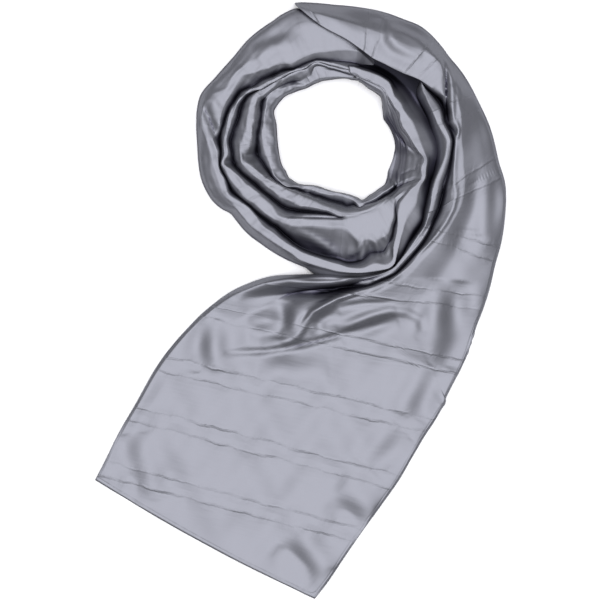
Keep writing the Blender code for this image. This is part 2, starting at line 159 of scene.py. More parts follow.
# The ring's pleated cloth. Its two free edges and its valleys are (angle, radius, height).
RING_OUTER = [
    (70, 160, 14), (76, 168, 20), (84, 182, 22), (90, 198, 22), (95, 214, 22), (100, 227, 21),
    (104, 238, 18), (107, 249, 11), (110, 255, 3), (115, 254, 3), (120, 251, 3), (130, 250, 3),
    (140, 247, 3), (150, 252, 3), (160, 263, 3), (165, 261, 3), (170, 257, 3), (180, 251, 3),
    (190, 250, 3), (200, 243, 3), (205, 234, 3), (210, 222, 3), (220, 219, 3), (230, 214, 3),
    (240, 212, 3), (248, 211, 5), (256, 213, 20), (270, 215, 23), (282, 214, 24), (293, 213, 24),
    (297, 206, 21), (310, 184, 16), (317, 180, 15), (323, 170, 15), (337, 156, 17), (350, 153, 18),
    (360, 156, 17), (370, 151, 16), (380, 148, 13), (391, 146, 8), (402, 149, 5), (413, 151, 5),
    (424, 153, 5), (438, 155, 5), (444, 156, 5),
]
RING_INNER = [
    (70, 121, 3), (76, 120, 3), (84, 119, 3), (90, 121, 3), (100, 121, 3), (110, 123, 3), (120, 123, 3),
    (130, 129, 3), (140, 137, 3), (150, 138, 3), (160, 124, 3), (170, 117, 3), (180, 113, 3),
    (195, 110, 3), (200, 107, 3), (205, 107, 3), (210, 103, 3), (215, 99, 3), (220, 92, 3),
    (226, 83, 3), (235, 76, 3), (244, 74, 3), (255, 73, 3), (264, 73, 3), (275, 76, 3), (285, 84, 3),
    (289, 90, 3), (299, 87, 3), (310, 87, 3), (318, 89, 3), (325, 86, 3), (335, 81, 3), (354, 83, 3),
    (365, 85, 3), (384, 84, 3), (397, 83, 3), (408, 94, 3), (417, 108, 3), (430, 111, 3), (444, 117, 3),
]
VALLEY_1 = [
    (70, 143, 3), (76, 145, 7), (84, 147, 16), (100, 152, 18), (110, 160, 20), (122, 161, 20),
    (128, 169, 15), (134, 175, 13), (140, 183, 14), (146, 190, 13), (152, 203, 11), (158, 206, 16),
    (164, 209, 16), (170, 212, 18), (176, 213, 11), (182, 210, 18), (188, 213, 18), (194, 207, 19),
    (200, 204, 12), (206, 194, 20), (212, 187, 17), (218, 182, 14), (224, 178, 11), (230, 176, 8),
    (236, 178, 5), (242, 181, 4), (248, 183, 4), (254, 184, 4), (260, 185, 4), (266, 187, 6),
    (272, 192, 9), (278, 190, 12), (284, 180, 15), (290, 184, 15), (294, 176, 19), (298, 168, 20),
    (302, 155, 21), (306, 147, 23), (310, 132, 26), (316, 124, 27), (322, 125, 29), (328, 127, 31),
    (334, 129, 31), (340, 130, 29.5), (346, 127, 30), (352, 128, 29.5), (358, 120, 29), (364, 112, 29),
    (370, 108, 28), (382, 100, 26), (394, 105, 27), (406, 109, 26.5), (412, 113, 30), (424, 121, 30.5),
    (436, 122, 29), (444, 127, 28),
]
VALLEY_2 = [
    (70, 133, 3), (76, 133, 10), (84, 133, 24), (100, 143, 25), (110, 155.5, 24), (116, 152, 26),
    (122, 155.5, 27), (128, 159, 27), (134, 163, 27), (140, 168, 26), (144, 172, 24), (148, 182, 21),
    (152, 190, 18), (158, 191, 14), (164, 190, 14), (170, 192, 15), (176, 196, 14), (182, 192, 16),
    (188, 189, 14), (194, 179, 15), (200, 166, 14), (206, 158, 16), (212, 151, 16), (218, 147, 15),
    (224, 142, 12), (230, 133, 11), (236, 126, 13), (242, 120, 16), (248, 115.5, 19), (254, 113, 21),
    (260, 114, 24), (266, 116, 26), (272, 114, 30), (290, 114, 30.5), (302, 113, 30), (310, 111, 28),
    (316, 112, 24), (328, 114, 23), (340, 107, 15), (352, 105, 14.8), (364, 102, 20), (382, 94, 21),
    (394, 97, 21), (406, 104, 23.5), (418, 119, 29.5), (430, 120, 28.5), (444, 125, 26),
]
VALLEY_3 = [
    (70, 127, 3), (76, 127, 7), (84, 127, 19), (100, 138, 20), (110, 149, 20), (116, 137, 22),
    (122, 138, 19), (128, 146, 15), (134, 152, 18), (140, 156, 22), (146, 160, 22), (150, 164, 14),
    (152, 162, 13), (158, 154, 16), (164, 152, 16), (170, 151, 16), (176, 150, 15), (182, 150, 9),
    (188, 143, 10), (194, 137, 12), (200, 134, 16), (206, 127, 20), (212, 120, 19), (218, 109, 13),
    (224, 102, 14), (230, 96, 15), (236, 94, 13), (242, 91, 12), (248, 90, 11), (254, 90, 11),
    (260, 90, 9), (266, 91, 8), (272, 95, 10), (278, 94, 12), (284, 101, 20), (290, 99, 19),
    (302, 102, 17), (310, 103.5, 13), (316, 106, 13), (322, 108, 15), (328, 104, 16.2), (340, 96, 8.4),
    (352, 95, 8.6), (364, 95, 15), (382, 90, 17), (394, 89, 15), (406, 98, 19.5), (418, 114, 28),
    (430, 116, 27), (444, 121, 23),
]
# Its ridges are (angle, radius and height of the outer edge, radius and height of the inner edge).
RIDGE_1 = [
    (70, 156, 3, 149, 3), (76, 165, 12, 158, 13), (84, 178, 24, 168, 25), (100, 210, 27, 168, 28),
    (110, 225, 26, 171, 29), (122, 211, 28, 171, 29), (128, 215, 28, 182, 28), (134, 217, 28, 190, 28),
    (140, 221, 28, 202, 28), (146, 227, 28, 215, 28), (152, 226, 28, 215, 27), (158, 243, 25, 217, 27),
    (164, 250, 24, 219, 27), (170, 248, 24, 217, 27), (176, 236, 26, 224, 28), (182, 228, 26, 217, 27),
    (188, 225, 27, 218, 27), (194, 221, 27, 213, 27), (200, 220, 26, 212, 27), (206, 211, 27, 201, 27),
    (212, 207, 28, 192, 28), (218, 206, 28, 190, 29), (224, 202, 29, 190, 30), (230, 200, 29, 188, 30),
    (236, 198, 30, 188, 30), (242, 198, 31, 188, 31), (248, 203, 31, 190, 32), (254, 203, 32, 190, 32),
    (260, 204, 32, 192, 33), (266, 207, 32, 195, 32), (272, 209, 32, 201, 32), (278, 211, 32, 204, 32),
    (284, 213, 31, 200, 32), (290, 215, 31, 208, 31), (293, 211, 31, 204, 31), (296, 198, 31, 185, 31),
    (302, 176, 32, 164, 31), (304, 171, 32, 157, 31), (310, 158, 32, 138, 31), (316, 153, 31, 130, 32),
    (322, 151, 31, 129, 33), (328, 144, 32, 130, 34), (334, 141, 33, 135, 34), (340, 143, 33, 137, 34),
    (346, 140, 33, 132, 34), (352, 139, 33, 135, 34), (358, 133, 33, 124, 34), (364, 128, 33, 116, 34),
    (370, 125, 32, 111, 33), (376, 123, 32, 107, 33), (382, 122, 32, 104, 33), (388, 119, 32, 105, 32),
    (394, 118, 32, 110, 32), (400, 121, 31, 109, 32), (406, 121, 31, 112, 31), (412, 128, 31, 116, 31),
    (418, 135, 30, 123, 31), (430, 136, 30, 124, 31), (436, 136, 30, 125, 30), (444, 139, 29, 130, 29),
]
RIDGE_2 = [
    (70, 138, 3, 135, 3), (76, 138, 11, 135, 11), (84, 137, 25, 134, 25), (100, 148, 27, 145, 27),
    (110, 157, 25, 156, 25), (116, 155, 28, 153, 28), (122, 158, 29, 156, 29), (128, 162, 29, 160, 29),
    (134, 167, 29, 164, 29), (140, 175, 29, 170, 29), (144, 179, 28, 174, 28), (148, 189, 28, 186, 28),
    (152, 197, 28, 194, 28), (158, 201, 29, 198, 29), (164, 204, 30, 199, 30), (170, 205, 30, 200, 30),
    (176, 205, 30, 202, 30), (182, 205, 29, 200, 29), (187, 211, 28, 206, 28), (190, 206, 29, 197, 29),
    (194, 202, 30, 188, 31), (200, 194, 31, 177, 32), (206, 188, 31, 166, 32), (212, 178, 32, 161, 32),
    (218, 173, 32, 157, 32), (224, 169, 32, 160, 32), (230, 163, 32, 153, 32), (236, 157, 32, 142, 32),
    (242, 148, 32, 133, 31), (248, 141, 31, 128, 31), (254, 136, 31, 123, 31), (260, 134, 31, 121, 30),
    (266, 131, 31, 120, 30), (269, 132, 31, 119, 30), (272, 138, 31, 118, 31), (275, 147, 31, 117, 31),
    (278, 156, 31, 117, 31), (284, 156, 31, 117, 31), (290, 161, 31, 117, 31), (296, 160, 31, 117, 31),
    (302, 147, 31, 116, 30), (306, 139, 31, 115, 30), (310, 128, 30, 114, 29), (316, 118, 28, 115, 26),
    (328, 122, 28, 118, 25.8), (340, 122, 24.5, 114, 19.5), (352, 119, 23.5, 111, 18.5),
    (364, 110, 27, 106, 25), (382, 98, 24, 96, 22.5), (394, 102, 24.5, 100, 23),
    (406, 107, 25.5, 106, 25), (418, 121, 30, 120, 30), (430, 122, 29.5, 121, 29.5),
    (444, 129, 27, 126, 27),
]
RIDGE_3 = [
    (70, 131, 5, 129, 5), (76, 131, 12, 129, 12), (84, 131, 24, 129, 24), (100, 142, 24, 140, 24),
    (110, 155, 24, 153, 24), (116, 151, 27, 149, 27), (122, 155, 28, 153, 28), (128, 158, 28, 156, 28),
    (134, 162, 28, 159, 27), (140, 168, 27, 161, 27), (146, 176, 28, 166, 28), (150, 180, 29, 172, 29),
    (158, 176, 30, 166, 30), (164, 173, 31, 163, 31), (170, 172, 31, 162, 31), (176, 176, 31, 162, 31),
    (182, 178, 30, 166, 30), (186, 178, 30, 171, 30), (190, 172, 31, 163, 31), (194, 165, 31, 154, 31),
    (200, 153, 32, 142, 32), (206, 145, 32, 132, 31), (212, 139, 32, 124, 31), (218, 134, 32, 118, 31),
    (224, 127, 32, 111, 30), (230, 124, 31, 108, 30), (236, 117, 31, 104, 30), (242, 112, 30, 103, 29),
    (248, 109, 30, 103, 29), (254, 108, 30, 103, 29), (260, 110, 29, 104, 28), (266, 113, 29, 107, 28),
    (272, 112, 30, 108, 29), (290, 112, 30, 109, 30), (302, 111, 30, 108, 29), (310, 109, 27, 108, 26),
    (316, 110, 21, 109, 20), (328, 109, 19, 107, 17.6), (340, 102, 12, 100, 10.8),
    (352, 100, 11.7, 98, 10.4), (364, 98, 17, 97, 16), (382, 92.5, 19.5, 91.5, 18.5),
    (394, 93, 18.5, 92, 17.5), (406, 101, 22, 100, 21), (418, 117, 29, 116, 29),
    (430, 118, 28, 117, 28), (444, 123.5, 25, 122.5, 25),
]
RIDGE_4 = [
    (70, 125, 4, 123, 4), (76, 125, 8, 123, 8), (84, 125, 17, 122, 17), (100, 136, 18, 124, 18),
    (110, 143, 20, 127, 19), (116, 132, 21, 127, 20), (122, 132, 19, 127, 19), (128, 138, 20, 134, 19),
    (134, 146, 20, 138, 19), (140, 153, 22, 142, 19), (146, 157, 22, 146, 19), (152, 152, 23, 146, 21),
    (158, 148, 24, 140, 21), (164, 145, 25, 134, 23), (170, 143, 25, 130, 24), (176, 140, 25, 127, 24),
    (182, 136, 25, 126, 24), (188, 132, 24, 124.5, 23), (194, 129, 23, 123, 22),
    (200, 128, 21, 122.5, 19), (206, 124, 21, 117, 18), (212, 118, 20, 111, 18), (218, 103, 19, 98, 18),
    (224, 96, 20, 88, 19), (230, 89, 20, 82, 19), (236, 86, 20, 79, 19), (242, 84, 20, 77, 19),
    (248, 82, 20, 76, 19), (254, 80, 20, 75, 19), (260, 79, 19, 75, 19), (266, 79, 19, 76, 19),
    (272, 82, 19, 78, 19), (278, 86, 19, 81, 18), (284, 95, 20, 88, 18), (290, 96, 20, 93, 18),
    (302, 97, 20, 91, 17), (310, 97, 20, 92, 18), (316, 99, 20, 93, 16), (322, 102, 20, 95, 15),
    (328, 96, 10.7, 92, 8), (340, 91, 5.6, 88, 4.2), (352, 90, 5.8, 87, 4.4), (364, 91, 12, 89, 10.5),
    (382, 88.5, 15.5, 87, 14), (394, 87, 13, 86, 12), (406, 96, 17.5, 94, 16), (418, 112, 26, 111, 25),
    (430, 114, 24, 112, 23), (444, 120, 20, 118.5, 19),
]
RIDGES = (RIDGE_1, RIDGE_2, RIDGE_3, RIDGE_4)
VALLEYS = (VALLEY_1, VALLEY_2, VALLEY_3)
# How far in from the outer edge the pleated cloth has rounded up, and by what share of its height.
RING_SHOULDER = [(70, 5, 0.55), (300, 6, 0.5), (340, 9, 0.5), (376, 11, 0.48),
                 (400, 14, 0.42), (440, 14, 0.42)]
# How far out and down the pleated cloth runs on under its neighbour: (angle, out, down).
RING_UNDER = [
    (70, 2, 6), (106, 0, 4), (110, -2, 1.5), (248, -2, 1.5), (258, 5, 7), (292, 5, 7), (300, 6, 4),
    (385, 8, 3), (395, 14, 0), (404, 30, -12), (412, 36, -17), (444, 36, -17),
]

# The right side and top, the same cloth as the wide end: each fold is (angle, radius, height).
INNER_GAP = [
    (-68, 214.5, 25), (-63, 206.5, 21), (-56, 190, 16), (-50, 184, 13), (-44, 178, 13), (-38, 167, 14),
    (-32, 160, 15), (-26, 155.5, 16), (-20, 152, 17), (-8, 153, 18), (4, 152, 17), (16, 149, 15),
    (31, 149, 11), (38, 152, 12),
]
VALLEY_R23 = [
    (-68, 227, 20), (-62, 218, 19), (-56, 211, 19), (-50, 205, 21), (-44, 198.5, 20), (-38, 191, 19),
    (-32, 187, 18), (-26, 182, 19), (-20, 180, 24), (-8, 179, 27), (-2, 180, 27), (4, 183, 25),
    (10, 180, 24), (16, 175, 22), (22, 179, 17), (28, 178, 15), (34, 174, 17), (40, 171, 20),
]
RIDGE_R2 = [
    (-68, 217, 31, 221, 31), (-62, 206, 33, 212, 33), (-56, 198, 35, 205, 34), (-50, 191, 35, 199, 35),
    (-44, 187, 36, 193, 35), (-38, 177, 36, 185, 35), (-32, 170, 36, 179, 35), (-26, 162, 36, 172, 36),
    (-20, 160, 36, 171, 36), (-14, 162, 36, 172, 36), (-8, 166, 36, 174, 36), (-2, 170, 36, 176, 36),
    (4, 172, 36, 177, 36), (10, 166, 36, 173, 36), (16, 161, 36, 169, 36), (22, 160, 36, 171, 35),
    (28, 160, 34, 169, 33), (34, 163, 31, 168, 30), (40, 165, 27, 169, 27),
]
RIDGE_R3 = [
    (-68, 232, 31, 244, 30), (-62, 226, 32, 237, 31), (-56, 219, 33, 229, 32), (-50, 214, 33, 225, 32),
    (-44, 210, 34, 222, 33), (-38, 206, 34, 220, 33), (-32, 204, 34, 218, 33), (-26, 199, 35, 217, 33),
    (-20, 191, 35, 213, 33), (-14, 187, 35, 208, 33), (-8, 185, 35, 201, 33), (-2, 185, 35, 199, 33),
    (4, 187, 35, 197, 34), (10, 188, 35, 199, 34), (16, 190, 35, 203, 34), (22, 192, 35, 206, 34),
    (26, 192, 35, 209, 34), (31, 184, 35, 208, 34), (38, 176, 35, 207, 35), (44, 170, 36, 205, 35),
    (54, 160, 36, 190, 35.5), (61, 158, 36, 182, 35.5), (71, 159, 36, 184, 35.5),
    (81, 170, 36, 190, 35), (90, 186, 36, 201, 35), (97, 200, 35, 212, 34), (101, 212, 34, 222, 33),
    (105, 230, 33, 237, 32), (107, 243, 31, 248, 30), (109, 257, 25, 259, 24),
]
# Heights of the flank a third and two thirds of the way out, and of the rounded edge beyond; then the
# free edge's radius.
FLANK_HIGH = [
    (-68, 14), (-50, 18), (-35, 19), (-22, 21), (-10, 24), (5, 25), (20, 27), (30, 31), (44, 34),
    (60, 35), (80, 35), (97, 33), (107, 29), (109, 22),
]
FLANK_LOW = [
    (-68, 11), (-50, 15), (-35, 17), (-22, 17.5), (-10, 17), (5, 17), (20, 19), (44, 25), (60, 26),
    (80, 26), (97, 25), (107, 22), (109, 17),
]
EDGE_ROUND = [(-68, 6), (-30, 8), (0, 9), (44, 11), (90, 12), (105, 13), (109, 12)]
TURN_OUTER = [
    (-68, 456), (-66, 442), (-62, 420), (-59, 404), (-56, 387), (-52, 368), (-50, 361), (-45, 344),
    (-37, 320), (-31, 309), (-22, 293), (-12, 278), (-4, 261), (9, 249), (22, 240), (35, 238),
    (41, 237), (48, 241), (59, 246), (67, 243), (80, 243), (92, 246), (101, 254), (107, 262),
    (109, 264),
]
FLANK_SHARES = (0.33, 0.68)
FOLD_WIDTH = 0.7         # flat top of the wide end's folds, as a share of how far in the first lies
# The top's free inner edge, turned under: (out from the edge, down from it), from beneath up to it.
LIP = [(20, 30), (12, 22), (5, 13), (1, 7), (-1, 3)]
LIP_ROOM = 40.0          # width of the band below which the turned edge shrinks

# The wide end, a row per cut across it from the hem up: left end, right end, then how far in from
# the left the edge fold, the trough and the second fold lie, and the heights across.
WIDE_END = [
    (-349, -305, 24, -507, 7, 20, 45, (2.6, 3.4, 3.2, 3.2, 3.2, 3.2, 3.2, 2.6)),
    (-332, -272, 48, -476, 7, 20, 45, (2.6, 4, 4, 4, 4, 4, 4, 2.6)),
    (-311, -229, 76, -434, 8, 22, 50, (2.6, 5, 5, 5, 6, 5, 4.5, 2.6)),
    (-281, -177, 108, -388, 8, 24, 55, (2.6, 6, 5, 6, 7, 5, 5, 2.6)),
    (-239, -104, 140, -344, 9, 28, 60, (2.6, 7, 6.8, 7, 7, 6, 5, 2.6)),
    (-193, -48, 168, -304, 10, 36, 75, (2.6, 8, 7.6, 8, 8, 7, 6, 2.6)),
    (-152, -9, 190, -266, 12, 46, 95, (2.6, 9.5, 8, 10, 9, 7, 6, 2.6)),
    (-103, 23, 210, -232, 15, 55, 108, (4, 14, 7, 15, 10, 8, 6, 2.6)),
    (-35, 43, 228, -205, 16, 40, 84, (8, 22, 9, 22, 12, 9, 6, 2.6)),
    (40, 45, 240, -184, 12, 30, 56, (19, 30, 13, 27, 14, 10, 6, 2.6)),
    (98, 40, 246, -175, 7, 19, 36, (23, 31, 15, 29, 15, 10, 7, 2.6)),
    (128, 45, 247, -170, 5, 13, 28, (24, 31, 16, 30, 15, 10, 7, 2.6)),
]

# Middles of the pin-tuck pairs, across the cloth from left to right: x, y, x, y.
TUCK_LINES = [
    (-324, -288, 84, -396),
    (-259, -198, 161, -309),
    (-190, -118, 223, -213),
    (-190, -9, 266, -113),
    (-60, 38, 263, 3),
    (160, 140, 345, 70),
    (260, 180, 345, 235),
    (217, 307, 302, 338),
    (183, 375, 237, 435),
    (115, 427, 130, 490),
    (40, 430, -10, 505),
]

# Middle and reach, across and up, of the place where they are lost in the folds.
TUCKS_LOST = ((-45, -22), (75, 42))

# Soft creases: width, height, then points x, y along the crease.
WIDE_CREASES = [
    (13, -6, -100, 2, -60, 7, -20, 13, 20, 12, 50, 16, 80, 25, 110, 35, 140, 43, 165, 52),
    (9, -5, 20, 10, 60, 18, 100, 32, 150, 47),
    (10, 5, -110, 8, -90, 18, -60, 28, -20, 33, 30, 28, 60, 27, 80, 35, 100, 42, 140, 49),
    (9, 6, 170, 47, 140, 32, 110, 20, 80, 10, 60, 2, 40, -8, 20, -20, 10, -35, 3, -50, -10, -65,
     -35, -70),
    (7, -2.5, 50, -16, 80, -9, 110, -5, 160, -2),
    (12, 3, 40, -42, 80, -38, 120, -24, 150, -17, 180, -20, 203, -32, 206, -50, 195, -66),
    (9, -5, -130, -89, -60, -86, -20, -80, 20, -71, 50, -63, 85, -52, 120, -38),
    (9, -6, 222, 358, 240, 335, 248, 312),
    (8, -5, 256, 268, 254, 240, 247, 215, 241, 198, 239, 180, 233, 158, 226, 142, 212, 118, 196, 98,
     178, 80),
    (11, -6, 150, 390, 178, 368, 197, 336, 212, 305, 226, 272, 228, 250, 222, 222, 213, 190, 208, 160,
     197, 122, 176, 93, 160, 74),
    (5, -6, 250, 300, 247, 330, 246, 360, 246, 385, 241, 412),
    (7, 3, 257, 290, 257, 320, 256, 350, 255, 380, 252, 408),
    (7, -5, 250, 298, 258, 288, 263, 279),
    (5, 3, 262, 305, 267, 288, 264, 272),
    (6, 3, 262, 262, 260, 235, 259, 200, 263, 180, 258, 155, 246, 132, 230, 110, 213, 93,
     195, 78, 172, 58),
    (2.5, -1.2, 108, 472, 110, 450),
    (2.5, -1.2, 280, 190, 300, 204, 320, 214, 338, 228),
    (3, -1.2, 264, 121, 280, 118, 302, 117),
    (3, -1.2, 262, 108, 285, 109, 312, 106),
]
RING_CREASES = [
    (10, -6.5, -166, 334, -156, 312, -150, 298, -146, 284, -141, 270),
    (14, 3, -150, 345, -145, 330, -142, 315),
    (12, -6, -98, 243, -80, 248, -66, 250),
    (8, -5, -130, 234, -118, 236, -106, 230),
    (3, 1.5, -12, 147, 30, 145, 65, 142),
    (3, -2, -32, 143, -10, 141, 30, 140, 74, 139),
    (7, 1.4, -8, 118, 20, 108, 40, 97, 58, 84, 75, 75),
    (8.5, 3.5, 108, 106, 103, 96, 98, 88, 88, 83, 74, 80),
    (9, 4, 109, 98, 108, 86, 105, 75, 99, 62),
    (8.5, 4, 112, 101, 120, 101, 127, 97, 131, 86, 133, 70),
    (8.5, 4, 136, 111, 145, 106, 149, 98, 147, 87, 141, 76),
    (11, 3.5, -8, 118, 18, 106, 42, 92, 60, 78),
    (5, -4, 150, 184, 165, 193, 182, 201, 208, 209),
    (3.5, -1.6, 170, 213, 185, 220, 208, 226),
    (5, -3, 163, 285, 175, 268, 195, 250),
]

# Soft slopes: width, rise, then points x, y; the cloth lies higher on the left of the line.
WIDE_SLOPES = [
    (20, 12, -20, -2, -20, -25, -20, -66),
    (17, 7, -88, -45, -60, -45, -30, -45),
    (11, 7, 28, -57, 24, -38, 32, -26, 45, -19, 64, -12),
    (13, 8, 66, -60, 95, -48, 120, -38, 140, -32, 164, -26),
    (30, 7, -70, -98, -10, -104, 50, -106),
    (31, -14.5, 250, 35, 246, -20, 243, -60, 230, -112),
    (23, 8.5, -158, -30, -159, -75, -156, -122),
    (28, 6.5, -284, -225, -275, -290, -262, -345),
    (28, 6.5, 52, -330, 116, -372),
    (33, 9, -20, -404, 34, -474),
    (26, -7, 218, -108, 205, -150, 186, -200),
    (26, -5, 176, -222, 112, -280),
    (13, 4.5, 143, 478, 145, 440, 157, 425, 178, 414, 202, 405),
    (10, -4, 146, 468, 180, 456, 200, 446, 220, 430, 237, 410),
    (20, -5, 36, 502, 70, 478, 105, 462, 142, 452),
    (16, -4.5, 322, 212, 322, 160, 315, 106),
]
RING_SLOPES = [
    (18, -5, -82, 423, -40, 440, 2, 451),
    (17, 3, -14, 140, 8, 123, 30, 112, 55, 106, 80, 104),
]


def rgb(code):
    """Linear colour from a six-digit sRGB hex code."""
    parts = [int(code[i:i + 2], 16) / 255 for i in (0, 2, 4)]
    return [c / 12.92 if c <= 0.04045 else ((c + 0.055) / 1.055) ** 2.4 for c in parts] + [1.0]


def knot_slopes(x, y):
    """A curve's slopes at its knots, such that it never swings out past them."""
    rise = np.diff(y) / np.diff(x)
    out = np.empty(len(x))
    out[0], out[-1] = rise[0], rise[-1]
    for i in range(1, len(x) - 1):
        a, b = rise[i - 1], rise[i]
        out[i] = 0.0 if a * b <= 0 else 2 * a * b / (a + b)
    return out


def bend(t, h, y0, m0, y1, m1):
    """Height at share t of a smooth bend of length h, from its end heights y and slopes m."""
    return ((1 + 2 * t) * (1 - t) ** 2 * y0 + t * (1 - t) ** 2 * h * m0
            + t * t * (3 - 2 * t) * y1 + t * t * (t - 1) * h * m1)


def curve(knots, column, at):
    """A column of a table, read smoothly between its rows at values of the first column."""
    x = np.array([k[0] for k in knots], float)
    y = np.array([k[column] for k in knots], float)
    m = knot_slopes(x, y)
    at = np.clip(np.asarray(at, float), x[0], x[-1])
    i = np.clip(np.searchsorted(x, at, side="right") - 1, 0, len(x) - 2)
    h = x[i + 1] - x[i]
    return bend((at - x[i]) / h, h, y[i], m[i], y[i + 1], m[i + 1])


def round_ring(angle, radius, height):
    """The point that far round the ring, out from its centre and up."""
    a = math.radians(angle)
    return (RING_CENTRE[0] + radius * math.cos(a), RING_CENTRE[1] + radius * math.sin(a), height)


def at_angle(fold, angle):
    """A fold's radius and height there."""
    return float(curve(fold, 1, angle)), float(curve(fold, 2, angle))


def both_edges(ridge, angle):
    """Radius and height of each of a ridge's two edges there."""
    return [(float(curve(ridge, k, angle)), float(curve(ridge, k + 1, angle))) for k in (1, 3)]


def wavering(folds, angle):
    """The folds between the two free edges, wandering a little along the cloth as hand-laid pleats do."""
    out = list(folds)
    waver = float(curve(WAVER, 1, angle))
    for k in range(2, len(folds) - 2):
        # The noise is read somewhere else for each fold, and for its height.
        place = Vector((angle / WAVER_TURN, 3.1 * k, 0))
        quick = Vector((angle / QUICK_TURN, 5.7 * k, 9))
        other = Vector((40, 0, 0))
        aside = noise.noise(place) + 0.5 * noise.noise(quick)
        lift = noise.noise(place + other) + 0.5 * noise.noise(quick + other)
        out[k] = (folds[k][0] + waver * aside, max(folds[k][1] + waver * lift, TABLE_CLEAR))
    return out


def ring_row(angle):
    """Fold points across the pleated cloth, from the outside in."""
    outer, inner = at_angle(RING_OUTER, angle), at_angle(RING_INNER, angle)
    ridges = [both_edges(ridge, angle) for ridge in RIDGES]
    step, share = at_angle(RING_SHOULDER, angle)
    first, last = ridges[0][0], ridges[-1][1]
    step = min(step, 0.6 * (outer[0] - first[0]))
    out, down = at_angle(RING_UNDER, angle)
    row = [(outer[0] + out, max(outer[1] - down, TABLE_CLEAR)), outer,
           (outer[0] - step, outer[1] + share * (first[1] - outer[1]))]
    for ridge, valley in zip(ridges, VALLEYS + (None,)):
        row += ridge
        if valley:
            row.append(at_angle(valley, angle))
    rim = min(RIM_SHOULDER, 0.5 * (last[0] - inner[0]))
    row += [(inner[0] + rim, inner[1] + RIM_LIFT * (last[1] - inner[1])), inner,
            (inner[0] + EDGE_UNDER, TABLE_CLEAR)]
    return [round_ring(angle, r, z) for r, z in wavering(row, angle)]


def turn_row(angle):
    """Fold points across the right side and top, from the inside out."""
    ridge, crest = both_edges(RIDGE_R2, angle), both_edges(RIDGE_R3, angle)
    gap, valley = at_angle(INNER_GAP, angle), at_angle(VALLEY_R23, angle)
    folds = [(gap[0] + GAP_UNDER[0], gap[1] - GAP_UNDER[1]), gap] + ridge + [valley]
    free = min(1.0, max(0.0, (angle - LIP_START) / (LIP_ANGLE - LIP_START)))
    free = free * free * (3 - 2 * free)
    outer = float(curve(TURN_OUTER, 1, angle))
    room = min(1.0, (outer - crest[0][0]) / LIP_ROOM)
    lip = [(crest[0][0] + room * out, crest[0][1] - room * down) for out, down in LIP]
    folds = [(a[0] + free * (b[0] - a[0]), a[1] + free * (b[1] - a[1])) for a, b in zip(folds, lip)]
    folds += crest
    top = crest[1][0]
    step = min(SHOULDER, SHOULDER_SHARE * (outer - top))
    for share, table in zip(FLANK_SHARES, (FLANK_HIGH, FLANK_LOW)):
        folds.append((top + share * (outer - step - top), float(curve(table, 1, angle))))
    folds.append((outer - step, float(curve(EDGE_ROUND, 1, angle))))
    folds += [(outer, EDGE_HEIGHT), (outer - EDGE_UNDER, TABLE_CLEAR)]
    return [round_ring(angle, r, z) for r, z in folds]


def end_row(row):
    """Fold points across the wide end at one of the table's cuts, from the left."""
    left, right = np.array(row[0:2], float), np.array(row[2:4], float)
    width = float(np.linalg.norm(right - left))
    crest, heights = row[6], row[7]
    raised = min(1.0, max(0.0, (heights[0] - RAISED_FROM) / RAISED_OVER))
    under = END_UNDER + raised * (GAP_UNDER[0] - END_UNDER)
    half = FOLD_WIDTH * row[4] / 2
    along = [under, 0.0, row[4] - half, row[4] + half, row[5], crest - half, crest + half]
    along += [crest + half + share * (width - SHOULDER - crest - half) for share in FLANK_SHARES]
    along += [width - SHOULDER, width, width - END_UNDER]
    lows = [max(TABLE_CLEAR, (heights[0] - GAP_UNDER[1]) * raised)]
    edge, fold, trough, second, *rest = heights
    tall = lows + [edge, fold, fold, trough, second, second] + rest + [TABLE_CLEAR]
    return [tuple(left + (right - left) * d / width) + (z,) for d, z in zip(along, tall)]


def across(rows, fine, turns):
    """Rows of fold points filled in between, all at once."""
    rows = np.asarray(rows, float)
    gaps = np.linalg.norm(np.diff(rows[..., :2], axis=1), axis=2)
    rise = np.diff(rows[..., 2], axis=1) / np.maximum(gaps, 0.3)
    out = [rows[:, 0]]
    count = rows.shape[1]
    for j in range(count - 1):
        ends = []
        for k, side in ((j, 0), (j + 1, 1)):
            start = np.clip(rise[:, j], -WALL_SLOPE, WALL_SLOPE)
            if turns[k] == "v":
                ends.append(3 * rise[:, j] - 2 * start)
            elif turns[k] == "e":
                ends.append(start)
            elif k in (0, count - 1):
                ends.append(rise[:, j])
            else:
                a, b = rise[:, k - 1], rise[:, k]
                same = a * b > 0
                ends.append(np.where(same, 2 * a * b / np.where(same, a + b, 1.0), 0.0))
        for n in range(1, fine[j] + 1):
            t = n / fine[j]
            point = rows[:, j] + (rows[:, j + 1] - rows[:, j]) * t
            point[:, 2] = bend(t, gaps[:, j], rows[:, j, 2], ends[0], rows[:, j + 1, 2], ends[1])
            out.append(point)
    return np.stack(out, axis=1)


def through(rows, count):
    """That many rows set out evenly through the given ones, along a smooth path."""
    rows = np.array(rows, float)
    centre = rows.mean(axis=1)
    at = np.concatenate([[0.0], np.cumsum(np.linalg.norm(np.diff(centre, axis=0), axis=1))])
    want = np.linspace(0.0, at[-1], count)
    flat = rows.reshape(len(rows), -1)
    out = np.empty((count, flat.shape[1]))
    for j in range(flat.shape[1]):
        out[:, j] = curve(np.stack([at, flat[:, j]], axis=1), 1, want)
    return out.reshape(count, rows.shape[1], 3)


